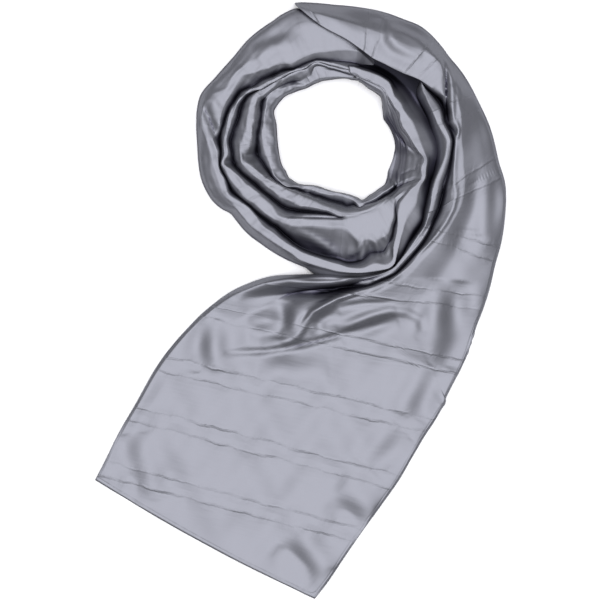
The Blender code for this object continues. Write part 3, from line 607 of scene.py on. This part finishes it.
def beside_line(grid, line):
    """For each point, how far off the line it lies, on which side, and how far along, from 0 to 1."""
    points = np.array(line, float).reshape(-1, 2)
    lengths = np.linalg.norm(np.diff(points, axis=0), axis=1)
    near = np.full(grid.shape[:2], np.inf)
    side = np.zeros(grid.shape[:2])
    where = np.zeros(grid.shape[:2])
    run = 0.0
    for a, b, length in zip(points[:-1], points[1:], lengths):
        step = (b - a) / length
        t = np.clip((grid[..., :2] - a) @ step / length, 0, 1)
        distance = np.linalg.norm(grid[..., :2] - (a + t[..., None] * (b - a)), axis=2)
        to_left = (grid[..., 1] - a[1]) * step[0] - (grid[..., 0] - a[0]) * step[1]
        closer = distance < near
        near = np.where(closer, distance, near)
        side = np.where(closer, np.sign(to_left), side)
        where = np.where(closer, (run + t * length) / lengths.sum(), where)
        run += length
    return near, side, np.clip(where, 0.0, 1.0)


def creased(grid, creases):
    """The grid with soft ridges and troughs raised along the table's lines, tapering at their ends."""
    out = grid.copy()
    for width, height, *line in creases:
        near, _, where = beside_line(grid, line)
        close = np.clip(1 - near / width, 0, 1)
        form = close * close * (3 - 2 * close) if height > 0 else 1.15 * close * close / (close + 0.15)
        out[..., 2] += height * np.sin(np.pi * where) ** 0.6 * form
    out[..., 2] = np.maximum(out[..., 2], TABLE_CLEAR)
    return out


def sloped(grid, slopes):
    """The grid with the table's soft slopes, each high on one side of its line and low on the other."""
    out = grid.copy()
    for width, rise, *line in slopes:
        near, side, where = beside_line(grid, line)
        away = near / width
        out[..., 2] += rise * 1.2 * side * away * np.exp(-away * away) * np.sin(np.pi * where) ** 0.5
    out[..., 2] = np.maximum(out[..., 2], TABLE_CLEAR)
    return out


def waved(grid):
    """The grid with low, uneven swells a millimetre or so high."""
    out = grid.copy()
    x, y = grid[..., 0], grid[..., 1]
    swell = np.zeros_like(x)
    for share, x_length, y_length, snake, x_snake, y_snake in SWELLS:
        swell += share * np.sin(x / x_length + y / y_length + snake * np.sin(x / x_snake + y / y_snake))
    inside = np.clip((grid[..., 2] - TABLE_CLEAR) / SWELL_RISE, 0, 1)
    out[..., 2] += SWELL * swell * inside
    return out


def crumpled(grid, heights):
    """Fine wrinkles along the pleats, close together across them and long down them, a height a row."""
    out = grid.copy()
    steps = np.linalg.norm(np.diff(grid[..., :2], axis=1, prepend=grid[:, :1, :2]), axis=2)
    spread = np.cumsum(steps, axis=1)
    for i in range(grid.shape[0]):
        for j in range(grid.shape[1]):
            long = Vector((spread[i, j] / WRINKLE_WIDTH, i * ROW_STEP / WRINKLE_LENGTH, 0.0))
            ripple = Vector((spread[i, j] / RIPPLE, i * ROW_STEP / RIPPLE, 5.0))
            out[i, j, 2] += heights[i] * (noise.noise(long) + RIPPLE_SHARE * noise.noise(ripple))
    inside = np.clip((grid[..., 2] - TABLE_CLEAR) / WRINKLE_RISE, 0, 1)
    out[..., 2] = grid[..., 2] + inside * (out[..., 2] - grid[..., 2])
    return out


def bowed(grid):
    """The hem bowed outward between its corners."""
    out = grid.copy()
    share = np.linalg.norm(grid[0, :, :2] - grid[0, 0, :2], axis=1)
    share = share / share[-1]
    along = np.linalg.norm(grid[:, grid.shape[1] // 2, :2] - grid[0, grid.shape[1] // 2, :2], axis=1)
    fade = np.clip(1 - along / HEM_BOW_REACH, 0, 1) ** 2
    run = grid[0, -1, :2] - grid[0, 0, :2]
    outward = np.array([run[1], -run[0]]) / np.linalg.norm(run)
    out[..., :2] += HEM_BOW * (fade[:, None] * np.sin(np.pi * np.clip(share, 0, 1)))[..., None] * outward
    return out


def slanted(grid):
    """The pleated cloth with its last rows swept back toward the hole, to a slanting fold."""
    out = grid.copy()
    angles = np.linspace(RING_START, RING_END, len(grid))
    late = np.clip((angles - OVERLAP_ANGLE) / (RING_END - OVERLAP_ANGLE), 0, 1)
    inward = np.linspace(*SLANT_ACROSS, grid.shape[1])
    turn = np.radians(-END_SLANT * late[:, None] * inward)
    x, y = grid[..., 0] - RING_CENTRE[0], grid[..., 1] - RING_CENTRE[1]
    out[..., 0] = RING_CENTRE[0] + x * np.cos(turn) - y * np.sin(turn)
    out[..., 1] = RING_CENTRE[1] + x * np.sin(turn) + y * np.cos(turn)
    return out


def tuck_places(grid):
    """How far along the cloth each point is, in pin-tuck pairs."""
    flat = grid[..., :2].reshape(-1, 2)
    past = []
    for x0, y0, x1, y1 in TUCK_LINES:
        run = np.array([x1 - x0, y1 - y0], float)
        normal = np.array([-run[1], run[0]]) / np.linalg.norm(run)
        past.append((flat - (x0, y0)) @ normal)
    past = np.array(past)
    to_hem = np.maximum(past[0] * MM / TUCK_PITCH, -0.5)
    place = np.where(past[0] > 0, len(past) - 1.0, to_hem)
    free = past[0] > 0
    for k in range(len(past) - 1):
        inside = free & (past[k] > 0) & (past[k + 1] <= 0)
        share = past[k] / np.where(inside, past[k] - past[k + 1], 1.0)
        place = np.where(inside, k + share, place)
        free = free & ~inside
    return place.reshape(grid.shape[:2])


def stretched_flat(grid):
    """How strongly the pin-tucks show, from 0 to 1: the folds below the gather swallow them."""
    (x, y), (wide, high) = TUCKS_LOST
    return 1 - 0.9 * np.exp(-((grid[..., 0] - x) / wide) ** 2 - ((grid[..., 1] - y) / high) ** 2)


# Its result is painted into the satin's base colour as shade.
def openness(grid, neighbours):
    """How much of the sky a point sees, from 0 to 1, looking both ways across the folds.

    The neighbours, one point a row, are the next cloth's crest beyond the first column.
    """
    total = np.zeros(grid.shape[:2])
    for way in (1, -1):
        line = grid[:, ::way]
        horizon = np.zeros(line.shape[:2])
        for step in range(1, HORIZON_STEPS):
            run = np.linalg.norm(line[:, step:, :2] - line[:, :-step, :2], axis=2)
            rise = line[:, step:, 2] - line[:, :-step, 2]
            horizon[:, :-step] = np.maximum(horizon[:, :-step], rise / np.hypot(run, rise).clip(0.01))
        if way == -1:
            run = np.linalg.norm(neighbours[:, None, :2] - line[..., :2], axis=2)
            rise = neighbours[:, None, 2] - line[..., 2]
            horizon = np.maximum(horizon, rise / np.hypot(run, rise).clip(0.01))
        total += (1 - horizon)[:, ::way]
    # The bottom of a sharp fold is counted less open, so it gets darker painted shade.
    run = np.linalg.norm(np.diff(grid[..., :2], axis=1), axis=2).clip(0.2)
    rise = np.diff(grid[..., 2], axis=1) / run
    kink = np.zeros(grid.shape[:2])
    kink[:, 1:-1] = np.clip(rise[:, 1:] - rise[:, :-1], 0, 1)
    return total / 2 - KINK_PAINTED_SHADE * kink


def run_across(grid):
    """How far across the cloth each point is from its row's first, in millimetres."""
    steps = np.linalg.norm(np.diff(grid, axis=1), axis=2)
    return np.concatenate([np.zeros((len(grid), 1)), np.cumsum(steps, axis=1)], axis=1)


def from_sewn_edges(grid):
    """How far in metres each point of the wide cloth lies from its hem or its seamed long edge."""
    across_it = run_across(grid)
    long_edge = across_it[:, -1 - FINE[-1], None] - across_it
    along_it = run_across(grid.transpose(1, 0, 2)).T
    return np.minimum(long_edge, along_it).clip(0) * MM


def cloth(name, grid, places, open_sky, tucks, seam, material):
    """A shell of cloth over the grid, with a map in metres across and along it.

    It carries how open to the sky each point is, which sets the shade painted into its colour, how
    strongly its tucks show, and how far in metres it lies from the sewn edges.
    """
    rows, cols = grid.shape[:2]
    bm = bmesh.new()
    bmesh.ops.create_grid(bm, x_segments=cols - 1, y_segments=rows - 1, size=0.5)
    spread = run_across(grid)
    layer = bm.loops.layers.uv.new("cloth")
    index = {}
    for vert in bm.verts:
        j, i = round((vert.co.x + 0.5) * (cols - 1)), round((vert.co.y + 0.5) * (rows - 1))
        index[vert] = (i, j)
        vert.co = grid[i, j] * MM
    for face in bm.faces:
        for loop in face.loops:
            i, j = index[loop.vert]
            loop[layer].uv = (spread[i, j] * MM, places[i, j] * TUCK_PITCH)
    bmesh.ops.recalc_face_normals(bm, faces=bm.faces)
    mesh = bpy.data.meshes.new(name)
    bm.to_mesh(mesh)
    bm.free()
    if sum(p.normal.z for p in mesh.polygons) < 0:
        mesh.flip_normals()
    mesh.polygons.foreach_set("use_smooth", [True] * len(mesh.polygons))
    for label, values in (("open", open_sky), ("tucks", tucks), ("seam", seam)):
        mesh.attributes.new(label, "FLOAT", "POINT").data.foreach_set("value", values.reshape(-1))
    piece = bpy.data.objects.new(name, mesh)
    bpy.context.scene.collection.objects.link(piece)
    mesh.materials.append(material)
    shell = piece.modifiers.new("thickness", "SOLIDIFY")
    shell.thickness = SHELL * MM
    shell.offset = -1.0
    return piece


def add(tree, kind, sockets=None, **settings):
    """A node with its settings, and with its sockets set, or linked to other nodes' outputs."""
    item = tree.nodes.new(kind)
    for name, value in settings.items():
        setattr(item, name, value)
    for name, value in (sockets or {}).items():
        if isinstance(value, bpy.types.NodeSocket):
            tree.links.new(value, item.inputs[name])
        else:
            item.inputs[name].default_value = value
    return item


def satin():
    """Polyester satin, woven in long floats that all lie one way.

    The floats mirror the light softly, stretched along the cloth, so a fold's top is bright and its
    sides fall off at once to a dull blue-grey, darkened further by painted shade. The grey dye leaves a
    little colour in the sheen.
    Real threads are 0.1 mm and too fine to show, so the slubs are drawn 7 mm apart.
    """
    material = bpy.data.materials.new("silver-grey polyester satin")
    material.use_nodes = True
    tree = material.node_tree
    shader = tree.nodes["Principled BSDF"]
    shader.inputs["Metallic"].default_value = 0.75
    shader.inputs["Roughness"].default_value = 0.37
    shader.inputs["Anisotropic"].default_value = 0.4
    shader.inputs["Specular Tint"].default_value = rgb("adadad")

    # Painted shade: the base colour darkens where layers lie close together and in deep creases, by how
    # little sky the open attribute says a place sees.
    painted_shade = add(tree, "ShaderNodeValToRGB",
                {"Fac": add(tree, "ShaderNodeAttribute", attribute_name="open").outputs["Fac"]})
    for place, code in PAINTED_SHADE_COLOURS:
        painted_shade.color_ramp.elements.new(place).color = rgb(code)
    painted_shade.color_ramp.elements.remove(painted_shade.color_ramp.elements[0])
    painted_shade.color_ramp.elements.remove(painted_shade.color_ramp.elements[-1])
    tree.links.new(painted_shade.outputs["Color"], shader.inputs["Base Color"])

    chart = add(tree, "ShaderNodeUVMap", uv_map="cloth").outputs["UV"]
    along = add(tree, "ShaderNodeSeparateXYZ", {"Vector": chart}).outputs["Y"]
    tucked = add(tree, "ShaderNodeAttribute", attribute_name="tucks").outputs["Fac"]

    # Each tuck's stitches pull it a few millimetres out of line, over about 33 mm.
    wander = add(tree, "ShaderNodeTexNoise",
                 {"Vector": chart, "Scale": 1 / TUCK_WANDER_LENGTH, "Detail": 3.0})
    aside = add(tree, "ShaderNodeMath", {0: wander.outputs["Fac"], 1: 0.5}, operation="SUBTRACT")
    placed = add(tree, "ShaderNodeMath", {0: aside.outputs[0], 1: TUCK_WANDER, 2: along},
                 operation="MULTIPLY_ADD")
    in_pair = add(tree, "ShaderNodeMath", {0: placed.outputs[0], 1: TUCK_PITCH / 2, 2: -TUCK_PITCH / 2},
                  operation="WRAP")
    from_middle = add(tree, "ShaderNodeMath", {0: in_pair.outputs[0]}, operation="ABSOLUTE")
    signed = add(tree, "ShaderNodeMath", {0: from_middle.outputs[0], 1: TUCK_SPACING / 2},
                 operation="SUBTRACT")
    from_tuck = add(tree, "ShaderNodeMath", {0: signed.outputs[0]}, operation="ABSOLUTE").outputs[0]
    ridge = add(tree, "ShaderNodeMapRange",
                {"Value": from_tuck, "From Max": TUCK_RIDGE, "To Min": 1.0, "To Max": 0.0})

    # A tuck shows here and there, where it is pressed less flat: patches of about 70 mm.
    patches = add(tree, "ShaderNodeTexNoise", {"Vector": chart, "Scale": 1 / TUCK_PATCH, "Detail": 3.0})
    raised = add(tree, "ShaderNodeMapRange",
                 {"Value": patches.outputs["Fac"], "From Min": 0.42, "From Max": 0.72, "To Min": 0.25,
                  "To Max": 1.1})
    line = add(tree, "ShaderNodeMath", {0: ridge.outputs[0], 1: raised.outputs[0]}, operation="MULTIPLY")

    # The cloth puckers up to 12 mm either side of a tuck, in crinkles 9 mm wide and 26 mm long.
    crinkle_map = add(tree, "ShaderNodeMapping", {"Vector": chart, "Scale": (1.0, PUCKER_STRETCH, 1.0)})
    crinkle = add(tree, "ShaderNodeTexNoise",
                  {"Vector": crinkle_map.outputs[0], "Scale": 1 / PUCKER_WIDTH, "Detail": 4.0})
    nearby = add(tree, "ShaderNodeMapRange",
                 {"Value": from_tuck, "From Max": PUCKER_REACH, "To Min": 1.1, "To Max": 0.0})
    relief = add(tree, "ShaderNodeMath",
                 {0: crinkle.outputs["Fac"], 1: nearby.outputs[0], 2: line.outputs[0]},
                 operation="MULTIPLY_ADD")
    sewn = add(tree, "ShaderNodeMath", {0: relief.outputs[0], 1: tucked}, operation="MULTIPLY")

    # The seam of the hem and of the tube's edge is a shallow groove 6 mm in, broken by its stitches.
    seam = add(tree, "ShaderNodeAttribute", attribute_name="seam").outputs["Fac"]
    beside = add(tree, "ShaderNodeMath", {0: seam, 1: SEAM_INSET}, operation="SUBTRACT")
    off_seam = add(tree, "ShaderNodeMath", {0: beside.outputs[0]}, operation="ABSOLUTE")
    groove = add(tree, "ShaderNodeMapRange",
                 {"Value": off_seam.outputs[0], "From Max": SEAM_WIDTH, "To Min": -0.8, "To Max": 0.0})
    stitched = add(tree, "ShaderNodeMath",
                   {0: groove.outputs[0], 1: crinkle.outputs["Fac"], 2: sewn.outputs[0]},
                   operation="MULTIPLY_ADD")

    # Slubs, the thicker threads of the weave, run 44 mm across the cloth.
    slub_map = add(tree, "ShaderNodeMapping", {"Vector": chart, "Scale": SLUB_SHAPE})
    slubs = add(tree, "ShaderNodeTexNoise",
                {"Vector": slub_map.outputs[0], "Scale": 1 / SLUB, "Detail": 5.0})
    height = add(tree, "ShaderNodeMath", {0: slubs.outputs["Fac"], 1: SLUB_HEIGHT,
                                          2: stitched.outputs[0]}, operation="MULTIPLY_ADD")
    bump = add(tree, "ShaderNodeBump",
               {"Height": height.outputs[0], "Strength": 0.6, "Distance": TUCK_HEIGHT})
    tree.links.new(bump.outputs["Normal"], shader.inputs["Normal"])
    floats = add(tree, "ShaderNodeTangent", direction_type="UV_MAP", uv_map="cloth")
    tree.links.new(floats.outputs["Tangent"], shader.inputs["Tangent"])
    return material


def white_paper():
    """Matt paper of the studio backdrop: it scatters light evenly and has no shine."""
    material = bpy.data.materials.new("white backdrop paper")
    material.use_nodes = True
    shader = material.node_tree.nodes["Principled BSDF"]
    shader.inputs["Base Color"].default_value = rgb("ffffff")
    shader.inputs["Roughness"].default_value = 0.9
    return material


def stage():
    """A white floor, a sky that is bright overhead and dim at the sides, and the camera above."""
    bm = bmesh.new()
    bmesh.ops.create_grid(bm, x_segments=1, y_segments=1, size=6.0)
    mesh = bpy.data.meshes.new("floor")
    bm.to_mesh(mesh)
    bm.free()
    floor = bpy.data.objects.new("floor", mesh)
    bpy.context.scene.collection.objects.link(floor)
    mesh.materials.append(white_paper())

    world = bpy.data.worlds.new("studio")
    bpy.context.scene.world = world
    world.use_nodes = True
    tree = world.node_tree
    way = add(tree, "ShaderNodeTexCoord").outputs["Generated"]
    upward = add(tree, "ShaderNodeSeparateXYZ", {"Vector": way}).outputs["Z"]
    ramp = add(tree, "ShaderNodeValToRGB", {"Fac": upward})
    for position, level in SKY:
        ramp.color_ramp.elements.new(position).color = (level, level, SKY_BLUE * level, 1)
    ramp.color_ramp.elements.remove(ramp.color_ramp.elements[0])
    ramp.color_ramp.elements.remove(ramp.color_ramp.elements[-1])
    sky = tree.nodes["Background"]
    tree.links.new(ramp.outputs["Color"], sky.inputs["Color"])
    sky.inputs["Strength"].default_value = SKY_STRENGTH

    camera = bpy.data.cameras.new("camera")
    camera.lens = CAMERA_LENS
    camera.clip_end = 20
    view = bpy.data.objects.new("camera", camera)
    view.location = CAMERA_PLACE
    bpy.context.scene.collection.objects.link(view)
    bpy.context.scene.camera = view
    bpy.context.scene.view_settings.view_transform = "Standard"


def wide_end_and_right_side(material):
    """The wide end, the right side and the top: one run of cloth."""
    rows = [end_row(row) for row in WIDE_END]
    rows += [turn_row(angle) for angle in np.arange(JOIN_ANGLE, TIP_ANGLE + 0.1, TURN_STEP)]
    grid = bowed(across(through(rows, ROWS), FINE, WIDE_TURNS))
    grid = sloped(creased(waved(grid), WIDE_CREASES), WIDE_SLOPES)

    # Painted shade: the ring's first ridge darkens it from the join on, through its openness.
    near = grid[:, NEAR_COLUMN, :2]
    join = np.argmin(np.linalg.norm(near - np.array(turn_row(JOIN_ANGLE)[1][:2]), axis=1))
    angles = np.degrees(np.arctan2(near[:, 1] - RING_CENTRE[1], near[:, 0] - RING_CENTRE[0]))
    beside = np.array([round_ring(a, *at_angle(RIDGE_1, a + 360)) for a in angles])
    beside[:join, 2] = 0
    return cloth("wide_end_and_right_side", grid, tuck_places(grid), openness(grid, beside),
                 stretched_flat(grid), from_sewn_edges(grid), material)


def pleated_ring(material):
    """The pleated cloth, from beneath the top round to where it tucks under the wide end."""
    angles = np.linspace(RING_START, RING_END, ROWS)
    rows = np.array([ring_row(a) for a in angles])
    lift = np.clip((angles - OVERLAP_ANGLE) / OVERLAP_RISE, 0, 1)
    rows[:, 3:-3, 2] += OVERLAP_LIFT * lift[:, None]
    grid = slanted(across(rows, RING_FINE, RING_TURNS))
    grid = crumpled(grid, curve(WRINKLES, 1, angles))
    grid = sloped(creased(grid, RING_CREASES), RING_SLOPES)

    # Painted shade: the right side's folds darken it through its openness, and the hole's walls the face
    # that rolls into the hole.
    turned = angles - 360 * (angles > GATHER_ANGLE)
    passed = np.clip((turned - NEAR_UNTIL) / FAR_AFTER, 0, 1)[:, None]
    near, far = (np.array([round_ring(a, *at_angle(r, a)) for a in turned]) for r in (RIDGE_R2, RIDGE_R3))
    beside = near + passed * (far - near)
    beside[(angles > TIP_ANGLE) & (angles < GATHER_ANGLE), 2] = 0
    inward = np.clip(np.linspace(*HOLE_ACROSS, grid.shape[1]), 0, 1)
    open_sky = openness(grid, beside) - curve(HOLE_PAINTED_SHADE, 1, angles)[:, None] * inward
    # The run beneath the wide end's gather is painted in full shade.
    open_sky[angles > GATHER_ANGLE, :RING_FINE[0]] = 0

    places = np.repeat((angles[:, None] - RING_TUCK_FROM) / RING_TUCK_STEP, grid.shape[1], axis=1)
    tucks = np.repeat(curve(RING_TUCKS, 1, angles)[:, None], grid.shape[1], axis=1)
    unsewn = np.ones(grid.shape[:2])
    return cloth("pleated_ring", grid, places, open_sky, tucks, unsewn, material)


material = satin()
wide_cloth = wide_end_and_right_side(material)
ring_cloth = pleated_ring(material)

for piece in (wide_cloth, ring_cloth):
    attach(piece, "root")
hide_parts("end_panel", "right_turn", "top_turn",
            "hidden_layers_tail", "hidden_layers_right", "hidden_layers_top")
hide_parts("inner_right_face", "inner_top_face", "upper_left_turn", "left_turn",
            "bottom_turn", "hidden_layers_inner_right", "hidden_layers_inner_top",
            "hidden_layers_upper_left", "hidden_layers_left", "hidden_layers_bottom")
stage()
